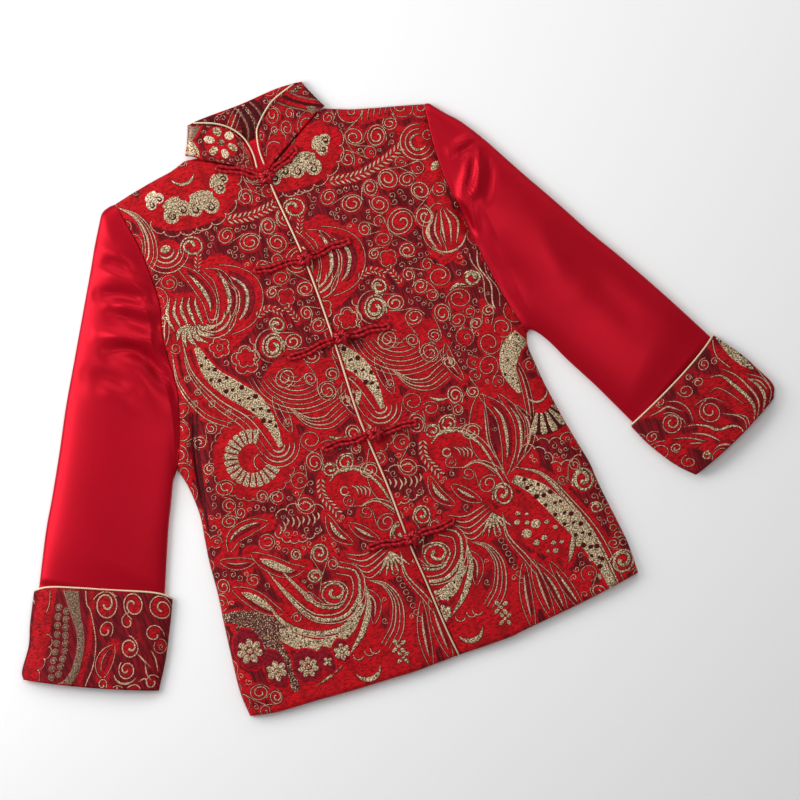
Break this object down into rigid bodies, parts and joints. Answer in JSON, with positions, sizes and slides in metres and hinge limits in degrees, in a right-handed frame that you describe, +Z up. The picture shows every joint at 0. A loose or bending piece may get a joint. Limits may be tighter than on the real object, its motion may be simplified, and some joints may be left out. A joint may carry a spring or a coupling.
{
  "type": "child's tang jacket, laid flat",
  "caption": "Child's jacket laid flat: stand collar, brocade body and turned-back cuffs, plain satin sleeves, gold piping and knotted frog fastenings down the front.",
  "frame": {"origin": "on the underside of the back panel, in the middle of the jacket's length", "axes": "+X to the wearer's left, +Y from hem to collar, +Z up from the surface it lies on"},
  "size_m": [0.802, 0.5974, 0.0184],
  "materials": {
    "brocade": "jacquard brocade, red on maroon with metallic thread",
    "satin": "polyester satin, smooth sheen",
    "gold_piping": "gold satin bias over a cord",
    "frog_cord": "satin bias cord, hand knotted"
  },
  "bodies": {
    "root": {"back_panel": "brocade", "front_right": "brocade", "front_left": "brocade", "collar": "brocade", "cuff_right": "brocade", "cuff_left": "brocade", "sleeve_right": "satin", "sleeve_left": "satin", "underlap": "satin", "front_piping": "gold_piping", "collar_piping_right": "gold_piping", "collar_piping_left": "gold_piping", "cuff_piping_right": "gold_piping", "cuff_piping_left": "gold_piping", "frog_1_loop": "frog_cord", "frog_1_tail": "frog_cord", "frog_1_knot": "frog_cord", "frog_2_loop": "frog_cord", "frog_2_tail": "frog_cord", "frog_2_knot": "frog_cord", "frog_3_loop": "frog_cord", "frog_3_tail": "frog_cord", "frog_3_knot": "frog_cord", "frog_4_loop": "frog_cord", "frog_4_tail": "frog_cord", "frog_4_knot": "frog_cord", "frog_5_loop": "frog_cord", "frog_5_tail": "frog_cord", "frog_5_knot": "frog_cord"}
  },
  "joints": []
}
